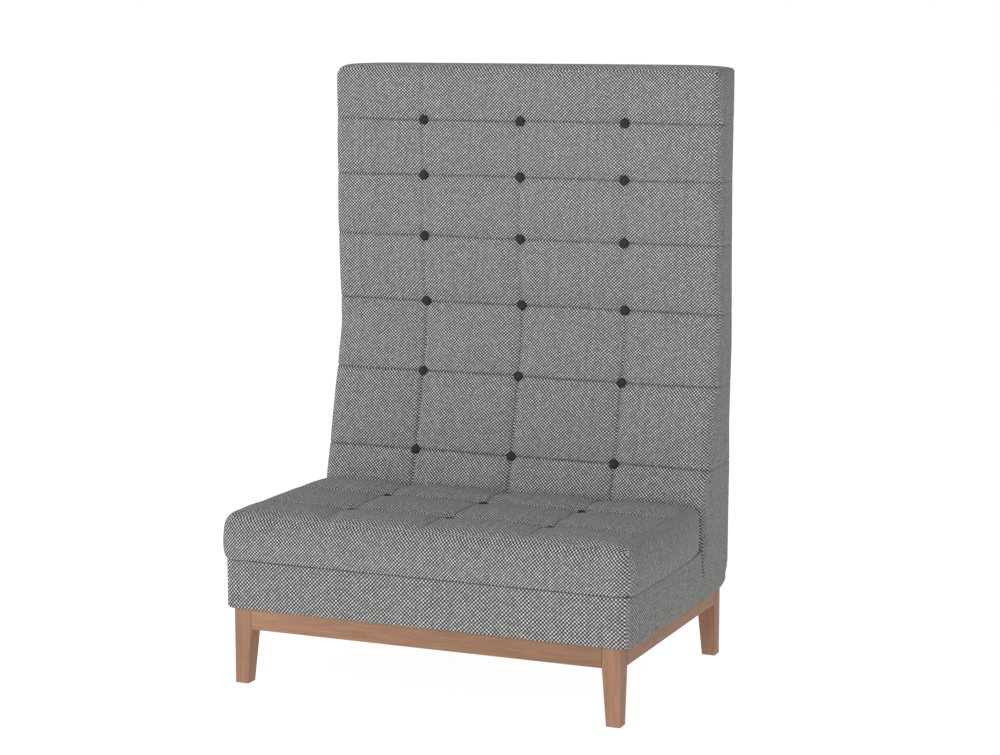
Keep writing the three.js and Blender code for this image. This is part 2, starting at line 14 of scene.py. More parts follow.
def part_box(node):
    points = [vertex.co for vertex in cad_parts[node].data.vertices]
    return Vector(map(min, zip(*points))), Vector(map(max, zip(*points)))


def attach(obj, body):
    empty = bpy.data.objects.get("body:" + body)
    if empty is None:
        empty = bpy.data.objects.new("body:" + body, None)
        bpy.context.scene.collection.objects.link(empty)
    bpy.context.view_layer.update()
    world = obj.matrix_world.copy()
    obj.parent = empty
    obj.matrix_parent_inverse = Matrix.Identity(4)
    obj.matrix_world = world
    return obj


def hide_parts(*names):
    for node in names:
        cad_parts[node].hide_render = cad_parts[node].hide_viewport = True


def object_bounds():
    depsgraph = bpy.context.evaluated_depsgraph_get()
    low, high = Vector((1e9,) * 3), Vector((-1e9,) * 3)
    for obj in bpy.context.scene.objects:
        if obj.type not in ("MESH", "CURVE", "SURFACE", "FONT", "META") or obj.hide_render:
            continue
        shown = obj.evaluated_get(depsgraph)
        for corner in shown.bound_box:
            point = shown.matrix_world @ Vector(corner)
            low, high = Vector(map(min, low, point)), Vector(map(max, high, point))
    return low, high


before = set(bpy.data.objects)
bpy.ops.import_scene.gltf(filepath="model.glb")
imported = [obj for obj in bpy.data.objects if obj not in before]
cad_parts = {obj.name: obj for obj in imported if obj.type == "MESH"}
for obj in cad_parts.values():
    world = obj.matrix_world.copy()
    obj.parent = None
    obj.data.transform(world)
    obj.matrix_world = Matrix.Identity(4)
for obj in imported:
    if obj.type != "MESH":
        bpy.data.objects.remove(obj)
cad_low, cad_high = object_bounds()

bl_info = {
    "name": "High back lounge chair",
    "version": (1, 0, 0),
    "blender": (4, 5, 0),
    "location": "3D View > Sidebar > Lounge chair",
    "description": "Upholsters a lounge chair round its packed frame and lights it",
    "category": "Add Mesh",
}

MM = 0.001


def middle_of(node):
    return sum(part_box(node), Vector()) / 2


# Height of each channel of the back and place of each column, as the buttons of the frame stand
BACK_ROWS = [middle_of(f"back_button_{row}_1").z for row in range(1, 7)]
BACK_COLUMNS = [middle_of(f"back_button_1_{column}").x for column in range(1, 4)]
SEAT_ROWS = [middle_of(f"seat_button_{row}_1").y for row in range(1, 3)]
SEAT_COLUMNS = [middle_of(f"seat_button_1_{column}").x for column in range(1, 4)]
BASE_LOW, BASE_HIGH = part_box("base_pad")
BACK_LOW, BACK_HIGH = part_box("back_cover")
SEAT_LOW, SEAT_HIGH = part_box("seat_cushion")
# The back's cover starts as a plain block and is then laid on the back's own lines
BLOCK_DEPTH = 120 * MM
BLOCK_TOP = 1.4823
FRONT_RADIUS = 25 * MM
REAR_RADIUS = 8 * MM
# Heights of the three knees in the back's front
KNEES = [0.4003, 0.8153, 1.0713]
HEEL = 70 * MM
HEEL_DEPTHS = [BLOCK_DEPTH - HEEL * step / 14 for step in (2, 4, 6, 8, 10)]
HEEL_HEIGHTS = [BACK_LOW.z + HEEL * step / 8 for step in range(1, 9)]
# One repeat of the weave across and along
BASE_PITCH = 9.55 * MM, 9.55 * MM
CUSHION_PITCH = 8.6 * MM, 8.75 * MM
BACK_PITCH = 8.66 * MM, 8.12 * MM
# Radius of the back's upper corners, and width of its cover's turned-in edges
BACK_CORNER = 26 * MM
# Depth of the front part of the back's cover, which is as deep at the waist as at the foot
FRONT_DEPTH = 45 * MM
# Mesh lines on both sides of a tufted seam, and how near to seams and to ties the cover is held
BESIDE_SEAM = (2 * MM, 6 * MM, 14 * MM)
STITCHED, TIED = 3 * MM, 16 * MM


def linear(code):
    """An sRGB hex colour as the linear colour that Blender's sockets take."""
    channels = [int(code[place:place + 2], 16) / 255 for place in (1, 3, 5)]
    return tuple(c / 12.92 if c <= 0.04045 else ((c + 0.055) / 1.055) ** 2.4 for c in channels)


def colour_setting(name, description, code):
    return FloatVectorProperty(name=name, description=description, subtype="COLOR", default=linear(code),
                               min=0, max=1)


class ClothSettings(PropertyGroup):
    """The woven cover and how tightly it is filled."""
    light_yarn: colour_setting("Light yarn", "Colour of the pale yarn", "#e3e4e1")
    dark_yarn: colour_setting("Dark yarn", "Colour of the charcoal yarn", "#414140")
    felt: colour_setting("Button felt", "Colour of the felt on the buttons", "#3a3a38")
    calm: FloatProperty(name="Calm sides", description="Drop of the weave's contrast on sides and tops",
                        default=0.75, min=0, max=1, subtype="FACTOR")
    pressure: FloatProperty(name="Filling pressure", description="How hard the foam pushes the cover out",
                            default=4.0, min=0)
    spacing: FloatProperty(name="Mesh spacing", description="Distance between mesh lines in a plain panel",
                           default=15 * MM, min=5 * MM, unit="LENGTH")


class TimberSettings(PropertyGroup):
    """The oiled legs and rails."""
    wood: colour_setting("Wood", "Colour of the oiled beech", "#ad8368")
    edge: FloatProperty(name="Edge rounding", description="Radius that the edges are sanded to",
                        default=1.5 * MM, min=0, unit="LENGTH")


class StageSettings(PropertyGroup):
    """Floor, light and camera."""
    floor: colour_setting("Floor", "Colour of the floor sheet", "#7e7e7e")
    lamp: FloatProperty(name="Lamp", description="Strength of the soft lamp in front", default=1.4, min=0)
    sky: FloatProperty(name="Sky", description="Strength of the light from all round", default=0.48, min=0)
    glow: FloatProperty(name="Floor glow", description="Light that the floor gives off", default=0.65, min=0)


class ChairSettings(PropertyGroup):
    """All settings of the chair."""
    cloth: PointerProperty(type=ClothSettings)
    timber: PointerProperty(type=TimberSettings)
    stage: PointerProperty(type=StageSettings)


def settings():
    return bpy.context.scene.lounge_chair


# Modelling helpers

def clear_selection():
    if bpy.context.mode != "OBJECT":
        bpy.ops.object.mode_set(mode="OBJECT")
    bpy.ops.object.select_all(action="DESELECT")


def make_active(piece):
    clear_selection()
    piece.select_set(True)
    bpy.context.view_layer.objects.active = piece


@contextmanager
def editing(piece):
    """Edit mode on one piece, and object mode again after it."""
    make_active(piece)
    bpy.ops.object.mode_set(mode="EDIT")
    yield
    bpy.ops.object.mode_set(mode="OBJECT")


def start_block(name, low, high):
    """A cube from one corner to the other, alone in the selection, its place in its mesh."""
    clear_selection()
    low, high = Vector(low), Vector(high)
    bpy.ops.mesh.primitive_cube_add(size=1, location=(low + high) / 2)
    block = bpy.context.object
    block.scale = high - low
    bpy.ops.object.transform_apply()
    block.name = block.data.name = name
    return block


def cut_across(axis, places):
    """In edit mode: cuts the whole mesh square to an axis at each place."""
    normal = [0, 0, 0]
    normal[axis] = 1
    for place in places:
        bpy.ops.mesh.select_all(action="SELECT")
        point = [0, 0, 0]
        point[axis] = place
        bpy.ops.mesh.bisect(plane_co=point, plane_no=normal)


def split_evenly(piece, axis, places, spacing):
    """In edit mode: splits the edges between neighbouring places into even steps."""
    for low, high in zip(places, places[1:]):
        steps = round((high - low) / spacing)
        if steps < 2:
            continue
        slack = 0.01 * MM
        select_edges(piece, lambda a, b: abs(a[axis] - b[axis]) > slack
                     and low - slack < min(a[axis], b[axis]) < max(a[axis], b[axis]) < high + slack)
        bpy.ops.mesh.subdivide(number_cuts=steps - 1)


def select_edges(piece, test):
    """In edit mode: selects only the edges whose two ends pass the test."""
    mesh = bmesh.from_edit_mesh(piece.data)
    bpy.ops.mesh.select_all(action="DESELECT")
    bpy.ops.mesh.select_mode(type="EDGE")
    for edge in mesh.edges:
        edge.select_set(test(edge.verts[0].co, edge.verts[1].co))
    bmesh.update_edit_mesh(piece.data)


def delete_faces(piece, test):
    """In edit mode: deletes the faces whose centre and normal pass the test."""
    mesh = bmesh.from_edit_mesh(piece.data)
    mesh.normal_update()
    bpy.ops.mesh.select_all(action="DESELECT")
    bpy.ops.mesh.select_mode(type="FACE")
    for face in mesh.faces:
        face.select_set(test(face.calc_center_median(), face.normal))
    bmesh.update_edit_mesh(piece.data)
    bpy.ops.mesh.delete(type="FACE")


def numbers(collection, name, width, kind=np.float32):
    """One attribute of a mesh's elements as an array."""
    flat = np.zeros(len(collection) * width, kind)
    collection.foreach_get(name, flat)
    return flat.reshape(-1, width) if width > 1 else flat


def places_of(piece):
    return numbers(piece.data.vertices, "co", 3).astype(float)


def normals_of(piece):
    return numbers(piece.data.vertex_normals, "vector", 3).astype(float)


def set_places(piece, places):
    piece.data.vertices.foreach_set("co", np.asarray(places, np.float32).ravel())
    piece.data.update()


def keep_values(piece, name, values, domain="POINT"):
    """Keeps one number or place for each point or face under a name."""
    kind, field = ("FLOAT_VECTOR", "vector") if values.ndim > 1 else ("FLOAT", "value")
    attribute = piece.data.attributes.new(name, kind, domain)
    attribute.data.foreach_set(field, values.astype(np.float32).ravel())


def block_places(piece):
    """Each vertex's place in the plain block, from which seams are measured."""
    return numbers(piece.data.attributes["block"].data, "vector", 3).astype(float)


def set_values(thing, **values):
    for key, value in values.items():
        setattr(thing, key, value)


def apply_modifier(piece, kind, **values):
    """Adds a modifier with its settings and applies it."""
    make_active(piece)
    modifier = piece.modifiers.new(kind.title(), kind)
    set_values(modifier, **values)
    bpy.ops.object.modifier_apply(modifier=modifier.name)


def subdivide_once(piece):
    apply_modifier(piece, "SUBSURF", levels=1, render_levels=1)


def smooth(piece, degrees=40):
    make_active(piece)
    bpy.ops.object.shade_smooth_by_angle(angle=math.radians(degrees))


def seam_lines(low, high, low_edge, high_edge, seams=(), near=(), fine=()):
    """The places of a block's cuts: at its rounded edges, finer beside its ends, and about each seam."""
    lines = {low, high}
    for end, way, edge in ((low, 1, low_edge), (high, -1, high_edge)):
        if edge:
            lines |= {end + way * edge * step / 3 for step in (1, 2, 3)} | {end + way * gap for gap in fine}
    for seam in seams:
        lines |= {seam} | {seam + side * gap for gap in near for side in (-1, 1)}
    return sorted(lines)


def grid_block(piece, lines, coarseness=1):
    """Cuts a block at the lines of each axis and then evenly between them."""
    spacing = coarseness * settings().cloth.spacing
    with editing(piece):
        for axis, places in enumerate(lines):
            cut_across(axis, places[1:-1])
        for axis, places in enumerate(lines):
            split_evenly(piece, axis, places, spacing)
    keep_values(piece, "block", places_of(piece))


def round_block(places, plan_low, plan_high, corner, upper, upper_radius, lower, lower_radius, square_end=""):
    """Rounds a block in plan and then at its upper and lower edges. Its corners may vary, and one end of the
    plan may stay square. Returns the places, how far each lies inside the outline, and the way out."""
    across, along, height = places.T.copy()
    corner = np.broadcast_to(corner, across.shape)
    low_corner, high_corner = [0 if square_end == end else corner for end in ("low", "high")]
    centre = np.stack([np.clip(across, plan_low[0] + corner, plan_high[0] - corner),
                       np.clip(along, plan_low[1] + low_corner, plan_high[1] - high_corner)], 1)
    out = places[:, :2] - centre
    gaps = np.stack([across - plan_low[0], plan_high[0] - across,
                     along - plan_low[1], plan_high[1] - along], 1)
    if square_end:
        gaps[:, 2 if square_end == "low" else 3] = np.inf
    inside = gaps.min(axis=1)
    side = np.array([(-1, 0), (1, 0), (0, -1), (0, 1)])[gaps.argmin(axis=1)]
    is_upper = height > (upper + lower) / 2
    radius = np.where(is_upper, upper_radius, lower_radius)
    level = np.where(is_upper, upper - radius, lower + radius)
    rise = np.where(is_upper, height - level, level - height)
    turn = radius - inside
    rolled = (turn > 0) & (rise > 0)
    length = np.where(rolled, np.hypot(turn, rise), 1)
    drawn = np.where(rolled, radius - turn * radius / length, inside)
    height = np.where(rolled, level + np.where(is_upper, rise, -rise) * radius / length, height)
    size = np.hypot(*out.T)
    in_zone = (size > 0)[:, None]
    outward = np.where(in_zone, out / np.where(size > 0, size, 1)[:, None], side)
    start = np.where(in_zone, centre, places[:, :2])
    length_out = np.where(size > 0, corner, inside) - drawn
    made = np.concatenate([start + outward * length_out[:, None], height[:, None]], 1)
    return made, drawn, np.where((inside < corner)[:, None], outward, 0)


def fade(distance, reach):
    return np.clip(1 - distance / reach, 0, 1) ** 2


def nearest(values, seams):
    """Distance from each value to the nearest seam."""
    return np.min(abs(np.asarray(values)[:, None] - np.asarray(seams)[None, :]), axis=1)


def groove(distance, width):
    """Share of a seam's depth at a distance from it."""
    return np.exp(-(distance / width) ** 2)


def dip(columns, rows, column, channel, tuft, reach, tuft_reach, floor=14 * MM):
    """How deep a padded face is drawn in, this far from its columns and its rows."""
    from_tuft = np.clip(np.hypot(columns, rows) - floor, 0, None)
    return np.maximum.reduce([channel * fade(rows, reach), column * fade(columns, reach),
                              tuft * fade(from_tuft, tuft_reach)])


def inflate(piece, held, cap):
    """Lets the cover swell as cloth under the foam's pressure, by a cap at most, while its sewn and tacked
    vertices are held."""
    start = places_of(piece)
    group = piece.vertex_groups.new(name="held")
    group.add(np.nonzero(held)[0].tolist(), 1.0, "REPLACE")
    make_active(piece)
    cloth = piece.modifiers.new("Cloth", "CLOTH")
    set_values(cloth.settings, quality=5, mass=0.3, use_pressure=True, vertex_group_mass="held",
               uniform_pressure_force=settings().cloth.pressure)
    cloth.settings.effector_weights.gravity = 0
    cloth.collision_settings.use_collision = False
    last = 20
    cloth.point_cache.frame_start, cloth.point_cache.frame_end = 1, last
    for step in range(1, last + 1):
        bpy.context.scene.frame_set(step)
    bpy.ops.object.modifier_apply(modifier=cloth.name)
    bpy.context.scene.frame_set(1)
    moved = places_of(piece) - start
    length = np.linalg.norm(moved, axis=1)
    limit = cap * np.tanh(length / cap) / np.where(length > 0, length, 1)
    set_places(piece, start + moved * limit[:, None])
    piece.vertex_groups.clear()


def press_seams(piece, depth, painted_shade):
    """Draws a cover in along its sewn seams, and keeps the painted shade that the material lays along them.
    """
    set_places(piece, places_of(piece) - normals_of(piece) * depth[:, None])
    # Painted shade: how much the seams' colour is darkened, kept as the attribute sewn
    keep_values(piece, "sewn", painted_shade)


def lay_weave(piece, sides=1.0, tops=1.0, tops_above=0.0):
    """Lays the weave in metres on each face from the side that it faces most, as cut panels lie. A share over
    1 carries the sides' panels, and the tops' above a height, further round the edges. Marks how calm the
    weave looks: fully on flat tops, partly on sides."""
    mesh = piece.data
    loops = numbers(mesh.loops, "vertex_index", 1, np.int32)
    counts = numbers(mesh.polygons, "loop_total", 1, np.int32)
    normals = abs(numbers(mesh.polygons, "normal", 3))
    normals[:, 0] *= sides
    normals[:, 2] *= np.where(numbers(mesh.polygons, "center", 3)[:, 2] > tops_above, tops, 1.0)
    facing = np.argmax(normals, axis=1)
    pairs = np.array([(1, 2), (0, 2), (0, 1)])[np.repeat(facing, counts)]
    uv = np.take_along_axis(places_of(piece)[loops], pairs, axis=1)
    layer = mesh.uv_layers.new(name="weave")
    layer.data.foreach_set("uv", uv.astype(np.float32).ravel())
    side_calm, top_calm = 0.6, 0.92 * np.clip(1 - 5 * normals[:, 1], 0, 1)
    keep_values(piece, "calm", np.choose(facing, [side_calm, 0.0, top_calm]), "FACE")


def finish_piece(piece, nodes, material):
    """Gives the piece its material, hangs it under the root body, and hides the frame nodes that it stands
    for.
    """
    piece.data.materials.clear()
    piece.data.materials.append(material)
    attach(piece, "root")
    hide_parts(*nodes)
    clear_selection()


# Material helpers

def feed(node, **links):
    """Gives each input, by its name or its number, a value, a link, or the first output of a node."""
    for key, value in links.items():
        socket = node.inputs[int(key[1:]) if key[1:].isdigit() else key.replace("_", " ")]
        if isinstance(value, bpy.types.Node):
            value = value.outputs[0]
        if isinstance(value, bpy.types.NodeSocket):
            node.id_data.links.new(value, socket)
        else:
            socket.default_value = value


def add_node(tree, kind, **values):
    """Adds a node, sets its properties, and feeds its inputs."""
    node = tree.nodes.new("ShaderNode" + kind)
    for key, value in values.items():
        give = set_values if hasattr(node, key) else feed
        give(node, **{key: value})
    return node


def new_material(name, colour, roughness, **values):
    """A material with its shader's own sockets set, ready for the nodes that vary them."""
    material = bpy.data.materials.new(name)
    material.use_nodes = True
    material.diffuse_color = (*colour, 1)
    shader = material.node_tree.nodes["Principled BSDF"]
    feed(shader, Base_Color=(*colour, 1), Roughness=roughness, **values)
    return material, material.node_tree, shader


def place_on(tree, stretch=None):
    """Object coordinates, stretched where a factor for each axis is given."""
    place = add_node(tree, "TexCoord").outputs["Object"]
    if stretch is None:
        return place
    return add_node(tree, "Mapping", vector_type="POINT", Vector=place, Scale=stretch)


def woven_cloth(name, pitch_across, pitch_along):
    """Basket-weave wool of off-white and charcoal yarn: pale round floats stand out of a dark ground in
    diagonal order, and melt into a mid grey at a grazing view. One repeat is two floats wide."""
    cloth = settings().cloth
    material, tree, shader = new_material(name, cloth.light_yarn, 0.92, Specular_IOR_Level=0.2)
    uv = add_node(tree, "UVMap", uv_map="weave")
    # Cloth is never dead straight: it wanders over a hand's width, and less from float to float
    wandered = uv
    for scale, reach in ((5.0, 8 * MM), (75.0, 1.5 * MM)):
        drift = add_node(tree, "TexNoise", noise_dimensions="2D", Vector=uv, Scale=scale, Detail=1.0)
        offset = add_node(tree, "VectorMath", operation="SUBTRACT", i0=drift.outputs["Color"],
                          i1=(0.5, 0.5, 0.5))
        wandered = add_node(tree, "VectorMath", operation="MULTIPLY_ADD", i0=offset,
                            i1=(reach, reach, 0), i2=wandered)
    cells = add_node(tree, "VectorMath", operation="MULTIPLY", i0=wandered,
                     i1=(2 / pitch_across, 2 / pitch_along, 0))
    turns = add_node(tree, "VectorMath", operation="MULTIPLY", i0=cells, i1=(math.pi, math.pi, 0))
    waves = add_node(tree, "VectorMath", operation="SINE", i0=turns)
    split = add_node(tree, "SeparateXYZ", Vector=waves)
    checker = add_node(tree, "Math", operation="MULTIPLY", i0=split.outputs["X"], i1=split.outputs["Y"])
    floats = add_node(tree, "MapRange", interpolation_type="SMOOTHSTEP", Value=checker, From_Min=-0.18,
                      From_Max=0.55)
    # On sides and tops the light runs along the yarns, and the floats stand out less
    calm = add_node(tree, "Attribute", attribute_name="calm")
    evened = add_node(tree, "Math", operation="MULTIPLY", i0=calm.outputs["Fac"], i1=cloth.calm)
    even_share = 0.364
    floats = add_node(tree, "Mix", data_type="FLOAT", i0=evened, i2=floats, i3=even_share)
    # Each float catches the light a little differently
    cell_index = add_node(tree, "VectorMath", operation="FLOOR", i0=cells)
    chance = add_node(tree, "TexWhiteNoise", noise_dimensions="2D", Vector=cell_index)
    shade = add_node(tree, "MapRange", Value=chance, To_Min=0.73, To_Max=1.13)
    fibre = add_node(tree, "TexNoise", noise_dimensions="2D", Vector=wandered, Scale=1400.0, Detail=2.0)
    fibre_shade = add_node(tree, "MapRange", Value=fibre, To_Min=0.8, To_Max=1.2)
    both = add_node(tree, "Math", operation="MULTIPLY", i0=shade, i1=fibre_shade)
    # Neighbouring warp yarns are spun alike, which shows as faint streaks up the cloth
    warp = add_node(tree, "SeparateXYZ", Vector=cells)
    spun = add_node(tree, "TexNoise", noise_dimensions="1D", W=warp, Scale=0.35, Detail=2.0)
    streak = add_node(tree, "MapRange", Value=spun, From_Min=0.3, From_Max=0.7, To_Min=0.93, To_Max=1.07)
    both = add_node(tree, "Math", operation="MULTIPLY", i0=both, i1=streak)
    pale = add_node(tree, "VectorMath", operation="SCALE", i0=tuple(cloth.light_yarn), Scale=both)
    colour = add_node(tree, "Mix", data_type="RGBA", i0=floats, i6=(*cloth.dark_yarn, 1), i7=pale)
    # Painted shade along the sewn seams: the colour is darkened by the share kept for them
    sewn = add_node(tree, "Attribute", attribute_name="sewn")
    unshaded_share = add_node(tree, "Math", operation="SUBTRACT", i0=1.0, i1=sewn.outputs["Fac"])
    seam_shaded_colour = add_node(tree, "VectorMath", operation="SCALE", i0=colour.outputs[2], Scale=unshaded_share)
    mound = add_node(tree, "Math", operation="ABSOLUTE", i0=checker)
    height = add_node(tree, "Math", operation="MULTIPLY_ADD", i0=fibre, i1=0.25, i2=mound)
    bump = add_node(tree, "Bump", Strength=0.5, Distance=0.6 * MM, Height=height)
    feed(shader, Base_Color=seam_shaded_colour, Normal=bump)
    return material


def matted_fibres(tree, shader, colour, scale, roughness, places, shares, strength, depth):
    """Varies a colour by its shares, and the surface by a depth, as matted fibres do."""
    fibres = add_node(tree, "TexNoise", Vector=place_on(tree), Scale=scale, Detail=3.0, Roughness=roughness)
    ramp = add_node(tree, "ValToRGB", Fac=fibres)
    for element, place, share in zip(ramp.color_ramp.elements, places, shares):
        element.position, element.color = place, (*[c * share for c in colour], 1)
    bump = add_node(tree, "Bump", Strength=strength, Distance=depth, Height=fibres)
    feed(shader, Base_Color=ramp, Normal=bump)


def wool_felt(name):
    """Charcoal wool felt over the buttons: dull, with matted fibres a fraction of a millimetre across."""
    colour = settings().cloth.felt
    material, tree, shader = new_material(name, colour, 0.95, Specular_IOR_Level=0.15)
    matted_fibres(tree, shader, colour, 900.0, 0.6, (0.3, 0.7), (0.6, 1.5), 0.5, 0.4 * MM)
    return material


def black_lining(name):
    """Black non-woven lining under the seat: a dull sheet with a faint criss-cross of fibres."""
    colour = linear("#232323")
    material, tree, shader = new_material(name, colour, 0.9, Specular_IOR_Level=0.2)
    matted_fibres(tree, shader, colour, 600.0, 0.5, (0, 1), (0.6, 1.7), 0.3, 0.3 * MM)
    return material


def grained_wood(name, colour, grain_axis, roughness, contrast, ring_width, painted_light_fall=0.0):
    """Sawn and sanded timber: long streaks along the grain, broad growth bands, short dark pores, and a tone
    that drifts along a board, with a painted fall of light that may darken it by a share a metre."""
    material, tree, shader = new_material(name, colour, roughness, Specular_IOR_Level=0.25)
    place, pore_place = [place_on(tree, [drawn_out if axis == grain_axis else 1.0 for axis in range(3)])
                         for drawn_out in (0.06, 0.04)]
    bands = add_node(tree, "TexNoise", Vector=place, Scale=1 / ring_width, Detail=2.0, Distortion=0.4)
    streaks = add_node(tree, "TexNoise", Vector=place, Scale=6 / ring_width, Detail=3.0, Roughness=0.6)
    mixed = add_node(tree, "Mix", data_type="FLOAT", i0=0.45, i2=bands, i3=streaks)
    ramp = add_node(tree, "ValToRGB", Fac=mixed)
    shares = 1 - contrast, 1 + contrast * 0.8
    for element, level, share in zip(ramp.color_ramp.elements, (0.3, 0.7), shares):
        element.position, element.color = level, (*[min(1, c * share) for c in colour], 1)
    pores = add_node(tree, "TexNoise", Vector=pore_place, Scale=1100.0, Detail=1.0)
    pore_share = add_node(tree, "MapRange", Value=pores, From_Min=0.62, From_Max=0.75, To_Max=0.5)
    inked = add_node(tree, "Mix", data_type="RGBA", i0=pore_share, i6=ramp,
                     i7=(*[c * 0.55 for c in colour], 1))
    drift = add_node(tree, "TexNoise", Vector=place, Scale=18.0, Detail=0.0)
    tone = add_node(tree, "MapRange", Value=drift, From_Min=0.3, From_Max=0.7, To_Min=0.94, To_Max=1.06)
    # Painted light: the tone falls by a share a metre along the grain, paler at the low end
    if painted_light_fall:
        ends = add_node(tree, "SeparateXYZ", Vector=place_on(tree))
        tone = add_node(tree, "Math", operation="MULTIPLY_ADD", i0=ends.outputs[grain_axis], i1=-painted_light_fall,
                        i2=tone)
    toned = add_node(tree, "VectorMath", operation="SCALE", i0=inked.outputs[2], Scale=tone)
    bump = add_node(tree, "Bump", invert=True, Strength=0.25, Distance=0.15 * MM, Height=pore_share)
    feed(shader, Base_Color=toned, Normal=bump)
    return material


def zinc_plate(name):
    """Bright zinc-plated steel of the bolts, slightly mottled in its gloss."""
    material, tree, shader = new_material(name, linear("#b9bcbe"), 0.35, Metallic=1.0)
    blotches = add_node(tree, "TexNoise", Vector=place_on(tree), Scale=250.0, Detail=2.0)
    feed(shader, Roughness=add_node(tree, "MapRange", Value=blotches, To_Min=0.25, To_Max=0.5))
    return material


def shared_material(name, make, *values):
    """The material of that name, made on first use."""
    return bpy.data.materials.get(name) or make(name, *values)


# Upholstery

def back_front(height):
    """Front face of the back at a height: upright behind the seat, leaning back to the waist, then forward to
    the shoulder and upright above it. The padding softens its knees."""
    heights = [BACK_LOW.z, *KNEES, BLOCK_TOP]
    thickness = [0.211, 0.211, 0.109, 0.126, 0.126]
    steps = np.linspace(-24 * MM, 24 * MM, 7)
    return BACK_HIGH.y - np.mean([np.interp(height + step, heights, thickness) for step in steps], axis=0)


def shape_back(block):
    """Carries places of the plain block onto the back, with its soft front edges, tight rear ones, leaning
    front, heel and slightly crowned top."""
    half = BACK_HIGH.x
    corner = np.interp(block[:, 1], [FRONT_RADIUS, 70 * MM], [BACK_CORNER, 9 * MM])
    # Depth is the third coordinate of the rounding, measured towards the front
    turned = np.stack([block[:, 0], block[:, 2], BLOCK_DEPTH - block[:, 1]], 1)
    made = round_block(turned, (-half, BACK_LOW.z), (half, BLOCK_TOP), corner, BLOCK_DEPTH, FRONT_RADIUS,
                       0, REAR_RADIUS, "low")[0]
    # Beside the base the front edge is nearly square, so that the two covers meet flush
    square_top, reach = 0.33, 0.07
    square = np.clip((square_top - block[:, 2]) / reach, 0, 1)
    square *= np.clip((FRONT_DEPTH - block[:, 1]) / (20 * MM), 0, 1)
    made += (turned - made) * square[:, None]
    across, height, forward = made.T
    from_front = BLOCK_DEPTH - forward
    face = back_front(height)
    share = np.clip((from_front - FRONT_DEPTH) / (BLOCK_DEPTH - FRONT_DEPTH), 0, 1)
    along = face + np.minimum(from_front, FRONT_DEPTH) + share * (BACK_HIGH.y - face - FRONT_DEPTH)
    heel_y, heel_z = BACK_HIGH.y - HEEL, BACK_LOW.z + HEEL
    out_y, out_z = np.clip(along - heel_y, 0, None), np.clip(heel_z - height, 0, None)
    in_corner = (out_y > 0) & (out_z > 0)
    pull = np.where(in_corner, np.maximum(out_y, out_z) / np.maximum(np.hypot(out_y, out_z), 1e-9), 1)
    along = np.where(in_corner, heel_y + out_y * pull, along)
    height = np.where(in_corner, heel_z - out_z * pull, height)
    crown, edge_rise, middle_rise = 52 * MM, 1.8 * MM, 5.6 * MM
    rise = np.clip((height - BLOCK_TOP + crown) / crown, 0, 1)
    height += (edge_rise + middle_rise * (1 - (across / half) ** 12)) * rise ** 2
    # The sides draw in towards the rear, most below the waist and at the shoulder
    drawn = np.interp(height, [0.30, 0.50, 0.60, 0.80, 1.00, 1.22, 1.42],
                      [4.3, 3.6, 6.0, 3.2, 5.6, 7.2, 5.4]) * MM
    front = np.interp(height, [0.85, 1.00], [0, 0.8]) * MM
    return np.stack([across * (1 - (front + (drawn - front) * share) / half), along, height], 1)


def beside_back(along, inset, reach):
    """Share of the width that is left where the seat is pressed against the back."""
    return 1 - inset / BASE_HIGH.x * np.clip((along - BASE_HIGH.y + reach) / reach, 0, 1) ** 1.7


class CHAIR_OT_base_upholstery(Operator):
    """Tight padded cover round the front and sides of the seat base, turned in at its edges"""
    bl_idname = "chair.base_upholstery"
    bl_label = "Base upholstery"

    def execute(self, context):
        corner, edge, seam = 35 * MM, 6 * MM, 3 * MM
        # It stands just above the deck that it surrounds, and its rear edge is tucked in against the back
        low, high, lip = BASE_LOW, BASE_HIGH + Vector((0, 1.5 * MM, 0.2 * MM)), corner / 3
        fine = (2 * MM, 4 * MM, edge)
        wrap = start_block("base_upholstery", low, high)
        tucked_in = [high.y - 5 * MM, high.y - 1.5 * MM]
        grid_block(wrap, [seam_lines(low.x, high.x, corner, corner, fine=fine),
                          sorted(seam_lines(low.y, high.y, corner, 0, fine=fine) + tucked_in),
                          seam_lines(low.z, high.z, edge, seam)])
        with editing(wrap):
            delete_faces(wrap, lambda centre, normal: normal.y > 0.5)
            delete_faces(wrap, lambda centre, normal: abs(normal.z) > 0.5 and abs(centre.x) < high.x - lip
                         and centre.y > low.y + lip)
        block = block_places(wrap)
        made = round_block(block, low, high, corner, high.z, seam, low.z, edge, "high")[0]
        heel_top = 0.23
        above_heel = np.clip((made[:, 2] - heel_top) / (40 * MM), 0, 1)
        made[:, 0] *= beside_back(made[:, 1], 7 * MM * above_heel, 120 * MM)
        set_places(wrap, made)
        held = abs(block[:, 2] - (low.z + high.z) / 2) > (high.z - low.z) / 2 - edge - MM
        held |= block[:, 1] > high.y - 2 * MM
        inflate(wrap, held, 4 * MM)
        apply_modifier(wrap, "SOLIDIFY", thickness=3 * MM, offset=-1, use_even_offset=True)
        subdivide_once(wrap)
        lay_weave(wrap, 1.2)
        smooth(wrap, 60)
        finish_piece(wrap, ["base_pad"],
                     shared_material("base_weave", woven_cloth, *BASE_PITCH))
        return {"FINISHED"}


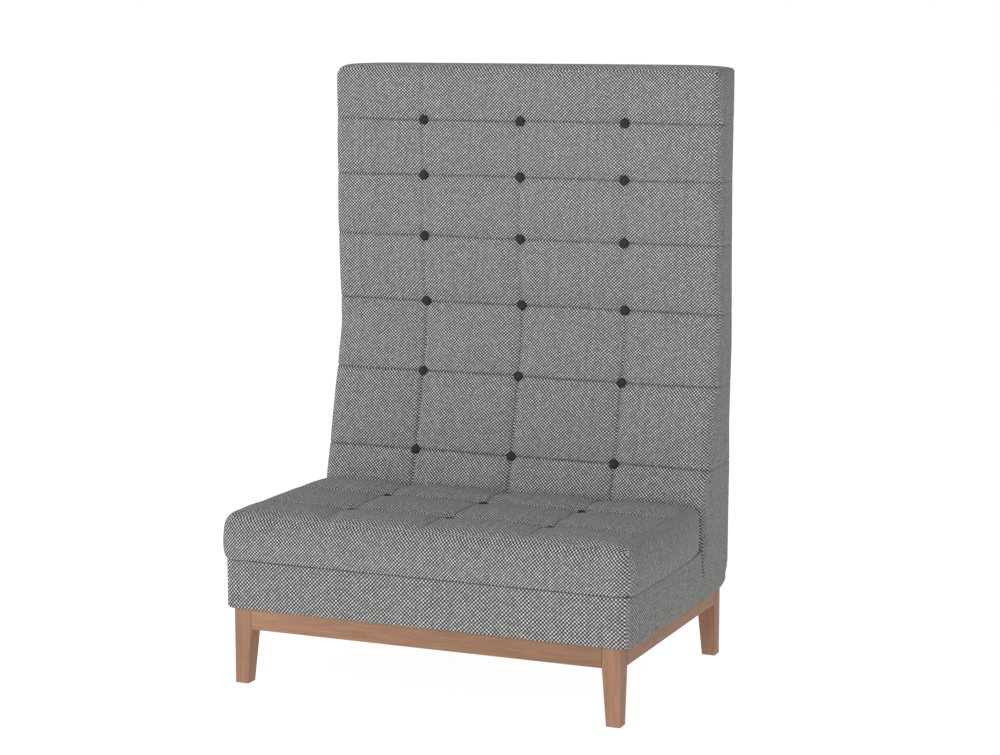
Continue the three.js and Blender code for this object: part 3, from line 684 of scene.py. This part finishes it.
class CHAIR_OT_seat_cushion(Operator):
    """Box seat cushion, crowned and tufted, its sides drawn in at the lower seam"""
    bl_idname = "chair.seat_cushion"
    bl_label = "Seat cushion"

    def execute(self, context):
        corner, top_radius, seam_radius, bulge = 36 * MM, 32 * MM, 3 * MM, 10 * MM
        low = Vector((BASE_LOW.x, BASE_LOW.y, SEAT_LOW.z))
        high = Vector((BASE_HIGH.x, SEAT_HIGH.y, SEAT_LOW.z + 116 * MM))
        lines = [seam_lines(low.x, high.x, corner, corner, SEAT_COLUMNS, BESIDE_SEAM),
                 seam_lines(low.y, high.y, corner, corner, SEAT_ROWS, BESIDE_SEAM),
                 sorted([low.z, low.z + 2 * MM, low.z + seam_radius, low.z + 15 * MM, high.z - top_radius,
                         high.z - top_radius * 2 / 3, high.z - top_radius / 3, high.z])]
        cushion = start_block("seat_cushion_cover", low, high)
        grid_block(cushion, lines)
        block = block_places(cushion)
        # Its corners are round in front and tight against the back
        plan_corner = np.where(block[:, 1] > high.y - 2 * corner, 10 * MM, corner)
        made, inside, outward = round_block(block, low, high, plan_corner, high.z, top_radius, low.z,
                                            seam_radius)
        rise = np.clip((made[:, 2] - low.z) / (high.z - low.z), 0, 1)
        edge = np.clip(1 - inside / corner, 0, 1)
        # The filling bulges most at a third of the height, and hardly against the back
        peak = 0.385
        swell = bulge * np.sqrt(rise) * (1 - rise) / peak * edge
        made[:, 0] += outward[:, 0] * swell * np.interp(made[:, 1], [0, high.y], [1, 0.2])
        made[:, 0] *= beside_back(made[:, 1], 14 * MM, 150 * MM)
        made[:, 1] += outward[:, 1] * swell * (made[:, 1] < high.y - corner)
        across, along = made[:, 0], made[:, 1]
        middle, half_depth = (low.y + high.y) / 2, (high.y - low.y) / 2
        fullness = np.clip(1 - (across / high.x) ** 6, 0, 1)
        crown = 9 * MM * np.clip(1 - ((along - middle) / half_depth) ** 4, 0, 1)
        # The front row of pillows stands higher than the middle one
        for row, extra in ((-0.28, 4 * MM), (-0.09, -3 * MM)):
            crown += extra * groove(along - row, 0.05)
        crown *= fullness
        column, channel = 8 * MM * self.share(along - low.y), 13 * MM * self.share(abs(high.x - abs(across)))
        drawn = dip(nearest(across, SEAT_COLUMNS), nearest(along, SEAT_ROWS), column, channel, 22 * MM,
                    85 * MM, 90 * MM)
        top_share = np.clip((made[:, 2] - high.z + top_radius) / top_radius, 0, 1)
        made[:, 2] += (crown - drawn) * top_share ** 2
        set_places(cushion, made)
        on_top = block[:, 2] > high.z - MM
        rows, columns = nearest(block[:, 1], SEAT_ROWS), nearest(block[:, 0], SEAT_COLUMNS)
        sewn = on_top & ((columns < STITCHED) | (rows < STITCHED) | (np.hypot(columns, rows) < TIED))
        rests = (block[:, 2] < low.z + 6 * MM) | (block[:, 1] > high.y - MM)
        inflate(cushion, sewn | rests, np.where(on_top, 3 * MM, 4 * MM))
        subdivide_once(cushion)
        block = block_places(cushion)
        rows, columns = nearest(block[:, 1], SEAT_ROWS), nearest(block[:, 0], SEAT_COLUMNS)
        on_top = np.clip((block[:, 2] - high.z + 14 * MM) / (14 * MM), 0, 1)
        seam = np.maximum(2.5 * MM * groove(rows, 2.2 * MM) * self.share(high.x - abs(block[:, 0])),
                          1.5 * MM * groove(columns, 2.5 * MM) * self.share(block[:, 1] - low.y))
        lay_weave(cushion, 1.1, 0.85)
        # Painted shade: the weave's colour is darkened along the tufted seams on top
        shade = 0.4 * groove(np.minimum(rows, columns), 2 * MM) * on_top
        press_seams(cushion, seam * on_top, shade * np.clip(seam / MM, 0, 1))
        smooth(cushion, 70)
        finish_piece(cushion, ["seat_cushion"],
                     shared_material("cushion_weave", woven_cloth, *CUSHION_PITCH))
        return {"FINISHED"}

    def share(self, to_end):
        """How much of a seam's depth is left this far from its end: the seams run out towards the edges."""
        return 0.05 + 0.95 * np.clip(to_end / (70 * MM), 0, 1) ** 1.6


class CHAIR_OT_back_upholstery(Operator):
    """Channelled and tufted cover of the tall back: front, sides, top and turned-in rear edges in one"""
    bl_idname = "chair.back_upholstery"
    bl_label = "Back upholstery"

    def execute(self, context):
        low = Vector((BACK_LOW.x, 0, BACK_LOW.z))
        high = Vector((BACK_HIGH.x, BLOCK_DEPTH, BLOCK_TOP))
        fine = (3 * MM, 6 * MM)
        lines = [seam_lines(low.x, high.x, BACK_CORNER, BACK_CORNER, BACK_COLUMNS, BESIDE_SEAM, fine),
                 sorted(seam_lines(0, BLOCK_DEPTH, FRONT_RADIUS, REAR_RADIUS) + [FRONT_DEPTH, *HEEL_DEPTHS]),
                 sorted(seam_lines(low.z, high.z, 0, BACK_CORNER, BACK_ROWS, BESIDE_SEAM, fine)
                        + [*HEEL_HEIGHTS, BASE_HIGH.z, *KNEES])]
        cover = start_block("back_upholstery", low, high)
        grid_block(cover, lines)
        inner = high.x - BACK_CORNER
        with editing(cover):
            delete_faces(cover, lambda centre, normal: normal.y > 0.5 and abs(centre.x) < inner
                         and centre.z < high.z - BACK_CORNER)
            delete_faces(cover, lambda centre, normal: abs(centre.x) < inner and centre.z < BASE_HIGH.z)
        block = block_places(cover)
        rows, columns = nearest(block[:, 2], BACK_ROWS), nearest(block[:, 0], BACK_COLUMNS)
        made = shape_back(block)
        # Hand-sewn seams wander by about a millimetre
        row = np.argmin(abs(block[:, 2][:, None] - np.array(BACK_ROWS)), axis=1)
        wave = np.sin(9 * block[:, 0] + 2.1 * row) + 0.6 * np.sin(24 * block[:, 0] + 3.7 * row)
        made[:, 2] += 0.9 * MM * wave * fade(rows, 40 * MM)
        column = (5 + 8 * self.loaded(block[:, 2])) * MM
        drawn = dip(columns, rows, column, 10 * MM, 12.5 * MM, 62 * MM, 34 * MM)
        front_share = np.clip(1 - block[:, 1] / FRONT_RADIUS, 0, 1)
        made[:, 1] += drawn * front_share
        near_top = np.clip(1 - (high.z - block[:, 2]) / (20 * MM), 0, 1)
        made[:, 2] -= 2.5 * MM * near_top * front_share * fade(columns, 30 * MM)
        set_places(cover, made)
        on_front = block[:, 1] < MM
        sewn = (rows < STITCHED) | on_front & ((columns < STITCHED) | (np.hypot(columns, rows) < TIED))
        tacked = (block[:, 1] > BLOCK_DEPTH - REAR_RADIUS - MM) | (block[:, 2] < BASE_HIGH.z + MM)
        cap = np.interp(block[:, 1], [FRONT_RADIUS / 2, FRONT_RADIUS], [5 * MM, 2 * MM])
        inflate(cover, sewn | tacked, cap)
        apply_modifier(cover, "SOLIDIFY", thickness=7 * MM, offset=-1, use_even_offset=False)
        subdivide_once(cover)
        block = block_places(cover)
        rows, columns = nearest(block[:, 2], BACK_ROWS), nearest(block[:, 0], BACK_COLUMNS)
        on_front = np.maximum(np.clip(1 - block[:, 1] / (2 * MM), 0, 1),
                              np.clip(1 - (high.z - block[:, 2]) / (2 * MM), 0, 1))
        loaded = self.loaded(block[:, 2])
        seam = np.maximum((1.8 + loaded) * MM * groove(rows, 2.2 * MM),
                          (1 + 2 * loaded) * MM * groove(columns, 3 * MM) * on_front)
        # The seams are shallow on the sides and the rear
        shallow = np.interp(block[:, 1], [FRONT_RADIUS, 50 * MM], [1, 0.4])
        lay_weave(cover, 1.1, 1.4, high.z - 25 * MM)
        # Painted shade: the weave's colour is darkened along the channel seams, less on the sides and rear
        press_seams(cover, seam * shallow, 0.32 * groove(rows, 2 * MM) * shallow)
        smooth(cover, 70)
        finish_piece(cover, ["back_pad", "back_cover"],
                     shared_material("back_weave", woven_cloth, *BACK_PITCH))
        return {"FINISHED"}

    def loaded(self, height):
        """How much harder the tufting pulls at a height, where the back carries the sitter."""
        waist, reach = 0.95, 0.25
        return np.clip((waist - height) / reach, 0, 1)


class CHAIR_OT_outside_back(Operator):
    """Plain padded panel that closes the rear of the back, its heel and its underside between the flaps"""
    bl_idname = "chair.outside_back"
    bl_label = "Outside back"

    def execute(self, context):
        # Its edge is tucked under the flaps
        tuck = 4 * MM
        edge = BACK_CORNER - tuck
        low = Vector((BACK_LOW.x + edge, MM, BACK_LOW.z))
        high = Vector((BACK_HIGH.x - edge, BLOCK_DEPTH, BLOCK_TOP - edge))
        panel = start_block("outside_back", low, high)
        grid_block(panel, [seam_lines(low.x, high.x, 12 * MM, 12 * MM),
                           [low.y, FRONT_DEPTH, *sorted(HEEL_DEPTHS), high.y],
                           sorted(seam_lines(low.z, high.z, 0, 12 * MM) + HEEL_HEIGHTS)], 2)
        with editing(panel):
            delete_faces(panel, lambda centre, normal: normal.y < -0.5 or abs(normal.x) > 0.5
                         or normal.z > 0.5)
        block = block_places(panel)
        set_places(panel, shape_back(block))
        # It is tacked down at its edge and stands out a little inside it
        out = 1.2 * MM - 3 * MM * fade(self.to_edge(block, high), 40 * MM)
        set_places(panel, places_of(panel) + normals_of(panel) * out[:, None])
        apply_modifier(panel, "SOLIDIFY", thickness=5 * MM, offset=-1, use_even_offset=False)
        subdivide_once(panel)
        lay_weave(panel)
        seam = groove(self.to_edge(block_places(panel), high) - tuck, 2 * MM)
        # Painted shade: the weave's colour is darkened along the tucked-in edge
        press_seams(panel, 1.5 * MM * seam, 0.6 * seam)
        smooth(panel, 60)
        finish_piece(panel, ["back_cover"],
                     shared_material("back_weave", woven_cloth, *BACK_PITCH))
        return {"FINISHED"}

    def to_edge(self, block, high):
        """How far each place of the panel lies inside its edge."""
        return np.minimum.reduce([high.x - abs(block[:, 0]), high.z - block[:, 2], block[:, 1]])


# Buttons

def button_shape(name):
    """A felt-covered button with a domed face and a tucked rim, its foot at the origin and its face up."""
    radius, height, below = 12.5 * MM, 9 * MM, 2.6 * MM
    clear_selection()
    bpy.ops.mesh.primitive_uv_sphere_add(segments=28, ring_count=14, radius=1)
    button = bpy.context.object
    button.scale = (radius, radius, height)
    bpy.ops.object.transform_apply()
    button.name = button.data.name = name
    with editing(button):
        bpy.ops.mesh.select_all(action="SELECT")
        bpy.ops.mesh.bisect(plane_co=(0, 0, -below), plane_no=(0, 0, 1), clear_inner=True, use_fill=True)
    places = places_of(button)
    around = np.arctan2(places[:, 1], places[:, 0])
    out = np.hypot(places[:, 0], places[:, 1]) / radius
    # The felt gathers in small pleats under the rim and the face sinks slightly where the tie pulls
    pleats = 0.25 * MM * np.cos(around * 9) * np.clip(out - 0.8, 0, 1) / 0.2
    places[:, :2] *= (1 + pleats / radius)[:, None]
    sunk = 0.8 * MM * groove(out, 0.25) * (places[:, 2] > 0)
    places[:, 2] = (places[:, 2] + below) * height / (height + below) - sunk
    set_places(button, places)
    return button


def place_button(master, node, facing):
    """A copy of the button on its tuft, turned to face away from it, with its own mesh."""
    foot = 4.5 * MM
    copy = master.copy()
    copy.data = master.data.copy()
    bpy.context.scene.collection.objects.link(copy)
    copy.name = copy.data.name = node + "_felt"
    facing = Vector(facing).normalized()
    turn = facing.to_track_quat("Z", "Y").to_matrix().to_4x4()
    copy.data.transform(Matrix.Translation(middle_of(node) - facing * foot) @ turn)
    smooth(copy, 50)
    finish_piece(copy, [node], shared_material("button_felt", wool_felt))


class CHAIR_OT_buttons(Operator):
    """Felt-covered buttons of the back and the seat"""
    bl_idname = "chair.buttons"
    bl_label = "Buttons"

    def execute(self, context):
        master = button_shape("button")
        reach = 14 * MM
        for row, height in enumerate(BACK_ROWS, 1):
            slope = (back_front(height + reach) - back_front(height - reach)) / (2 * reach)
            for column in range(1, 4):
                place_button(master, f"back_button_{row}_{column}", (0, -1, slope))
        for row in range(1, 3):
            for column in range(1, 4):
                place_button(master, f"seat_button_{row}_{column}", (0, 0, 1))
        bpy.data.objects.remove(master)
        return {"FINISHED"}


# Timber

class CHAIR_OT_legs(Operator):
    """Square legs with sanded edges, tapered on their two inner sides below the rails"""
    bl_idname = "chair.legs"
    bl_label = "Legs"

    def execute(self, context):
        foot, under_rail, edge = 35 * MM, 136.5 * MM, settings().timber.edge
        for corner in ("front_left", "front_right", "rear_right", "rear_left"):
            node = f"leg_{corner}"
            low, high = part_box(node)
            leg = start_block(node + "_timber", low, high)
            middle = (cad_low + cad_high) / 2
            with editing(leg):
                cut_across(2, [low.z + under_rail])
            places = places_of(leg)
            at_foot = places[:, 2] < low.z + MM
            taper = (high.x - low.x) - foot
            for axis in (0, 1):
                inner = low[axis] if low[axis] > middle[axis] else high[axis]
                at_inner = abs(places[:, axis] - inner) < MM
                way = math.copysign(1, (low[axis] + high[axis]) / 2 - inner)
                places[:, axis] += np.where(at_foot & at_inner, way * taper, 0)
            set_places(leg, places)
            apply_modifier(leg, "BEVEL", width=edge, segments=3, limit_method="ANGLE",
                           angle_limit=math.radians(40))
            smooth(leg, 30)
            colour = settings().timber.wood
            finish_piece(leg, [node],
                         shared_material("beech_leg", grained_wood, colour, 2, 0.45, 0.25, 7 * MM))
        return {"FINISHED"}


class CHAIR_OT_rails(Operator):
    """Rails between the legs, with sanded edges"""
    bl_idname = "chair.rails"
    bl_label = "Rails"

    def execute(self, context):
        edge = settings().timber.edge
        # Painted light makes the long rails paler towards the left; the short ones are a shade darker than
        # the legs
        for side, grain_axis in (("front", 0), ("rear", 0), ("left", 1), ("right", 1)):
            colour = [(1, 0.95)[grain_axis] * channel for channel in settings().timber.wood]
            painted_light_fall = (0.33, 0)[grain_axis]
            node = f"rail_{side}"
            rail = start_block(node + "_timber", *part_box(node))
            # Only the long edges are sanded round: the ends meet the legs flush
            with editing(rail):
                select_edges(rail, lambda a, b: abs(a[grain_axis] - b[grain_axis]) > 0.1)
                bpy.ops.mesh.bevel(offset=edge, segments=3)
            smooth(rail, 30)
            name = ("beech_across", "beech_along")[grain_axis]
            finish_piece(rail, [node],
                         shared_material(name, grained_wood, colour, grain_axis, 0.45, 0.25, 7 * MM, painted_light_fall))
        return {"FINISHED"}


# Inside

class CHAIR_OT_lining(Operator):
    """Black lining cloth stretched under the seat base, sagging by a millimetre"""
    bl_idname = "chair.lining"
    bl_label = "Lining"

    def execute(self, context):
        low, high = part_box("dust_cover")
        sheet = start_block("under_lining", (low.x, low.y, low.z + 0.3 * MM),
                            (high.x, high.y, low.z + 1.5 * MM))
        grid_block(sheet, [[low.x, high.x], [low.y, high.y], [low.z, high.z]], 2)
        places = places_of(sheet)
        across = places[:, 0] / high.x
        along = (2 * places[:, 1] - low.y - high.y) / (high.y - low.y)
        places[:, 2] -= MM * (1 - across ** 2) * (1 - along ** 2)
        set_places(sheet, places)
        smooth(sheet)
        finish_piece(sheet, ["dust_cover"], shared_material("lining_cloth", black_lining))
        return {"FINISHED"}


class CHAIR_OT_inner_finishes(Operator):
    """Finishes of the boards, blocks and bolts that keep their shapes from the frame"""
    bl_idname = "chair.inner_finishes"
    bl_label = "Inner finishes"

    def execute(self, context):
        pine, ply = linear("#d3b98c"), linear("#c9ad82")
        for name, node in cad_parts.items():
            if node.hide_render:
                continue
            if "bolt" in name:
                finish = shared_material("zinc_plate", zinc_plate)
            elif name.startswith(("base_board", "corner_block", "back_rail")):
                grain = 1 if name in ("base_board_left", "base_board_right") else 0
                finish = shared_material(f"pine_{'xy'[grain]}", grained_wood, pine, grain, 0.7, 0.16, 20 * MM)
            else:
                finish = shared_material("ply_board", grained_wood, ply, 2, 0.75, 0.12, 25 * MM)
            for place in node.material_slots:
                place.material = finish
        return {"FINISHED"}


# Stage

class CHAIR_OT_stage(Operator):
    """Pale floor, soft lamp, even sky and the camera"""
    bl_idname = "chair.stage"
    bl_label = "Stage"

    def execute(self, context):
        stage = settings().stage
        clear_selection()
        bpy.ops.mesh.primitive_plane_add(size=60)
        floor = bpy.context.object
        floor.name = floor.data.name = "floor"
        floor.data.materials.append(pale_floor(stage.floor, stage.glow))
        lean, turn = math.radians(81), math.radians(-20)
        bpy.ops.object.light_add(type="SUN", rotation=(lean, 0, turn))
        lamp = bpy.context.object
        lamp.name = "soft_lamp"
        set_values(lamp.data, energy=stage.lamp, angle=math.radians(50))
        scene = context.scene
        scene.world = bpy.data.worlds.new("studio")
        scene.world.use_nodes = True
        tree = scene.world.node_tree
        ray = add_node(tree, "LightPath")
        seen = ray.outputs["Is Camera Ray"]
        for kind in ("Glossy", "Transmission"):
            seen = add_node(tree, "Math", operation="MAXIMUM", i0=seen, i1=ray.outputs[f"Is {kind} Ray"])
        strength = add_node(tree, "MapRange", Value=seen, To_Min=stage.sky)
        feed(tree.nodes["Background"], Color=(1, 1, 1, 1), Strength=strength)
        scene.view_settings.view_transform = "Standard"
        lean, turn = math.radians(90 - 8.4546), math.radians(23.065)
        bpy.ops.object.camera_add(location=(2.3531, -5.4095, 1.6101), rotation=(lean, 0, turn))
        scene.camera = bpy.context.object
        scene.camera.name = "camera"
        set_values(scene.camera.data, sensor_width=36, lens=87.472, clip_end=200)
        clear_selection()
        return {"FINISHED"}


def pale_floor(colour, glow):
    """Translucent white floor sheet, lit from below: white to the camera where nothing shades it, with the
    chair's shadow as a faint grey."""
    material, tree, shader = new_material("floor_sheet", colour, 1.0, Specular_IOR_Level=0.0)
    ray = add_node(tree, "LightPath")
    strength = add_node(tree, "MapRange", Value=ray.outputs["Is Camera Ray"], To_Min=glow, To_Max=0.955)
    grain = add_node(tree, "TexNoise", Vector=place_on(tree), Scale=40.0)
    tint = add_node(tree, "MapRange", Value=grain, To_Min=0.98, To_Max=1.02)
    shade = add_node(tree, "VectorMath", operation="SCALE", i0=tuple(colour), Scale=tint)
    feed(shader, Emission_Color=(1, 1, 1, 1), Emission_Strength=strength, Base_Color=shade)
    return material


class CHAIR_PT_sidebar(Panel):
    """Lists the chair's settings and pieces"""
    bl_idname = "CHAIR_PT_sidebar"
    bl_label = "Lounge chair"
    bl_space_type = "VIEW_3D"
    bl_region_type = "UI"
    bl_category = "Lounge chair"

    def draw(self, context):
        for group in (settings().cloth, settings().timber, settings().stage):
            box = self.layout.box()
            for name in group.__annotations__:
                box.prop(group, name)
        for step in STEPS:
            self.layout.operator(step.bl_idname)


STEPS = (CHAIR_OT_base_upholstery, CHAIR_OT_seat_cushion, CHAIR_OT_back_upholstery, CHAIR_OT_outside_back,
         CHAIR_OT_buttons, CHAIR_OT_legs, CHAIR_OT_rails, CHAIR_OT_lining, CHAIR_OT_inner_finishes,
         CHAIR_OT_stage)
CLASSES = (ClothSettings, TimberSettings, StageSettings, ChairSettings, *STEPS, CHAIR_PT_sidebar)


def register():
    for item in CLASSES:
        bpy.utils.register_class(item)
    bpy.types.Scene.lounge_chair = PointerProperty(type=ChairSettings)


def unregister():
    del bpy.types.Scene.lounge_chair
    for item in reversed(CLASSES):
        bpy.utils.unregister_class(item)


def main():
    register()
    for step in STEPS:
        family, name = step.bl_idname.split(".")
        getattr(getattr(bpy.ops, family), name)()


if __name__ == "__main__":
    main()
